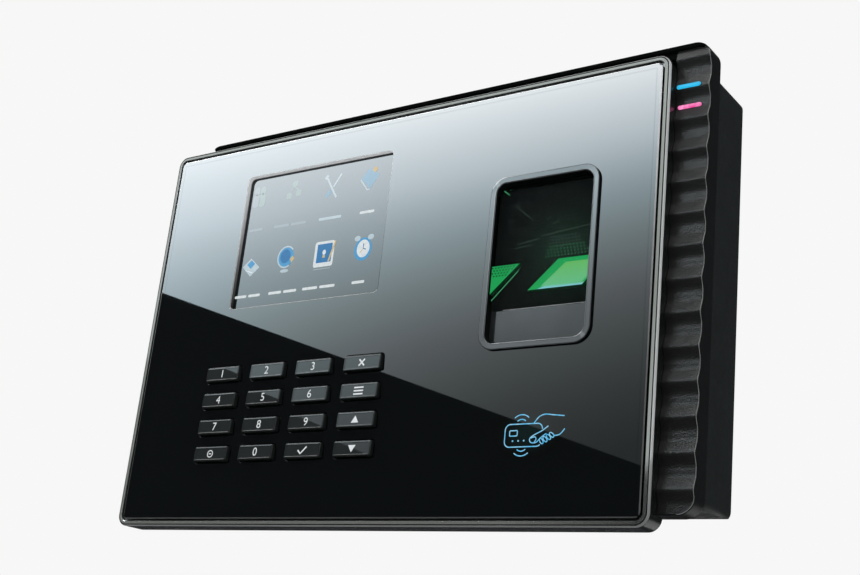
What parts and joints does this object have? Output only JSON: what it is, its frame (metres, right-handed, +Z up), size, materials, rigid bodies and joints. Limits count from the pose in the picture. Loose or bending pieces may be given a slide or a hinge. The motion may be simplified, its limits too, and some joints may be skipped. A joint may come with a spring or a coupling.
{
  "type": "fingerprint scanner terminal",
  "caption": "Wall-mounted fingerprint and card terminal with a glossy panel, colour display, keypad, lit finger sensor and ribbed side, on a hook-on bracket.",
  "frame": {"origin": "centre of the wall bracket's back face, which lies on the wall", "axes": "+Y into the wall, so the front panel faces -Y; +Z up; +X to the right as seen by the person in front of it"},
  "size_m": [0.2178, 0.0369, 0.1471],
  "materials": {
    "bracket_steel": "satin grey powder coat",
    "screw_steel": "zinc plated",
    "rear_plastic": "fine-grained black",
    "rib_plastic": "grainy black",
    "case_plastic": "smooth black",
    "chassis_plastic": "plain black",
    "silver_trim": "satin silver paint",
    "panel_acrylic": "polished black acrylic",
    "display_glass": "dark display glass",
    "backlight": "white diffuser",
    "frame_steel": "bright stamped steel",
    "flex_film": "amber film",
    "circuit_board": "green solder mask",
    "switch_plastic": "dark grey",
    "key_plastic": "charcoal",
    "silver_ring": "satin silver paint",
    "tray_plastic": "dark grey",
    "platen_glass": "clear optical glass",
    "prism_glass": "clear optical glass",
    "green_light": "lit green light guide",
    "blue_light": "lit blue light pipe",
    "pink_light": "lit pink light pipe",
    "black_part": "black",
    "copper": "bare copper",
    "terminal_green": "green",
    "plunger_white": "white",
    "cover_rubber": "soft black"
  },
  "bodies": {
    "bracket": {"wall_bracket": "bracket_steel"},
    "terminal": {"security_screw": "screw_steel", "rear_housing": "rear_plastic", "mid_housing": "rib_plastic", "front_case": "case_plastic", "front_chassis": "chassis_plastic", "bezel_frame": "silver_trim", "front_panel": "panel_acrylic", "lcd_panel": "display_glass", "lcd_backlight": "backlight", "lcd_frame": "frame_steel", "lcd_ribbon": "flex_film", "keypad_board": "circuit_board", "tact_switches": "switch_plastic", "sensor_bezel": "silver_ring", "sensor_tray": "tray_plastic", "sensor_platen": "platen_glass", "sensor_light_guide": "green_light", "sensor_prism": "prism_glass", "sensor_led_board": "circuit_board", "sensor_camera": "black_part", "sensor_housing": "black_part", "sensor_cable": "flex_film", "card_antenna_board": "circuit_board", "card_antenna_coil": "copper", "main_board": "circuit_board", "board_chips": "black_part", "network_jack": "frame_steel", "usb_port": "frame_steel", "terminal_blocks": "terminal_green", "coin_cell": "screw_steel", "cell_holder": "black_part", "speaker": "black_part", "status_bar_blue": "blue_light", "status_bar_pink": "pink_light", "status_board": "circuit_board", "tamper_switch": "black_part", "case_screws": "screw_steel", "board_screws": "screw_steel"},
    "key_1": {"key_1": "key_plastic"},
    "key_2": {"key_2": "key_plastic"},
    "key_3": {"key_3": "key_plastic"},
    "key_esc": {"key_esc": "key_plastic"},
    "key_4": {"key_4": "key_plastic"},
    "key_5": {"key_5": "key_plastic"},
    "key_6": {"key_6": "key_plastic"},
    "key_menu": {"key_menu": "key_plastic"},
    "key_7": {"key_7": "key_plastic"},
    "key_8": {"key_8": "key_plastic"},
    "key_9": {"key_9": "key_plastic"},
    "key_up": {"key_up": "key_plastic"},
    "key_power": {"key_power": "key_plastic"},
    "key_0": {"key_0": "key_plastic"},
    "key_ok": {"key_ok": "key_plastic"},
    "key_down": {"key_down": "key_plastic"},
    "tamper_pin": {"tamper_plunger": "plunger_white"},
    "usb_flap": {"usb_cover": "cover_rubber"}
  },
  "joints": [
    {"name": "terminal_lift", "type": "slide", "parent": "bracket", "child": "terminal", "axis": [0, 0, 1], "range_m": [0, 0.0055]},
    {"name": "key_1_press", "type": "slide", "parent": "terminal", "child": "key_1", "axis": [0, 1, 0], "range_m": [0, 0.0008], "stiffness_N_per_m": 300, "springref_m": -0.002},
    {"name": "key_2_press", "type": "slide", "parent": "terminal", "child": "key_2", "axis": [0, 1, 0], "range_m": [0, 0.0008], "stiffness_N_per_m": 300, "springref_m": -0.002},
    {"name": "key_3_press", "type": "slide", "parent": "terminal", "child": "key_3", "axis": [0, 1, 0], "range_m": [0, 0.0008], "stiffness_N_per_m": 300, "springref_m": -0.002},
    {"name": "key_esc_press", "type": "slide", "parent": "terminal", "child": "key_esc", "axis": [0, 1, 0], "range_m": [0, 0.0008], "stiffness_N_per_m": 300, "springref_m": -0.002},
    {"name": "key_4_press", "type": "slide", "parent": "terminal", "child": "key_4", "axis": [0, 1, 0], "range_m": [0, 0.0008], "stiffness_N_per_m": 300, "springref_m": -0.002},
    {"name": "key_5_press", "type": "slide", "parent": "terminal", "child": "key_5", "axis": [0, 1, 0], "range_m": [0, 0.0008], "stiffness_N_per_m": 300, "springref_m": -0.002},
    {"name": "key_6_press", "type": "slide", "parent": "terminal", "child": "key_6", "axis": [0, 1, 0], "range_m": [0, 0.0008], "stiffness_N_per_m": 300, "springref_m": -0.002},
    {"name": "key_menu_press", "type": "slide", "parent": "terminal", "child": "key_menu", "axis": [0, 1, 0], "range_m": [0, 0.0008], "stiffness_N_per_m": 300, "springref_m": -0.002},
    {"name": "key_7_press", "type": "slide", "parent": "terminal", "child": "key_7", "axis": [0, 1, 0], "range_m": [0, 0.0008], "stiffness_N_per_m": 300, "springref_m": -0.002},
    {"name": "key_8_press", "type": "slide", "parent": "terminal", "child": "key_8", "axis": [0, 1, 0], "range_m": [0, 0.0008], "stiffness_N_per_m": 300, "springref_m": -0.002},
    {"name": "key_9_press", "type": "slide", "parent": "terminal", "child": "key_9", "axis": [0, 1, 0], "range_m": [0, 0.0008], "stiffness_N_per_m": 300, "springref_m": -0.002},
    {"name": "key_up_press", "type": "slide", "parent": "terminal", "child": "key_up", "axis": [0, 1, 0], "range_m": [0, 0.0008], "stiffness_N_per_m": 300, "springref_m": -0.002},
    {"name": "key_power_press", "type": "slide", "parent": "terminal", "child": "key_power", "axis": [0, 1, 0], "range_m": [0, 0.0008], "stiffness_N_per_m": 300, "springref_m": -0.002},
    {"name": "key_0_press", "type": "slide", "parent": "terminal", "child": "key_0", "axis": [0, 1, 0], "range_m": [0, 0.0008], "stiffness_N_per_m": 300, "springref_m": -0.002},
    {"name": "key_ok_press", "type": "slide", "parent": "terminal", "child": "key_ok", "axis": [0, 1, 0], "range_m": [0, 0.0008], "stiffness_N_per_m": 300, "springref_m": -0.002},
    {"name": "key_down_press", "type": "slide", "parent": "terminal", "child": "key_down", "axis": [0, 1, 0], "range_m": [0, 0.0008], "stiffness_N_per_m": 300, "springref_m": -0.002},
    {"name": "tamper_press", "type": "slide", "parent": "terminal", "child": "tamper_pin", "axis": [0, -1, 0], "range_m": [0, 0.0015], "stiffness_N_per_m": 150, "springref_m": -0.002},
    {"name": "usb_cover_swing", "type": "hinge", "parent": "terminal", "child": "usb_flap", "pos_m": [-0.1035, -0.0123, 0.018], "axis": [0, 1, 0], "range_deg": [0, 110]}
  ]
}
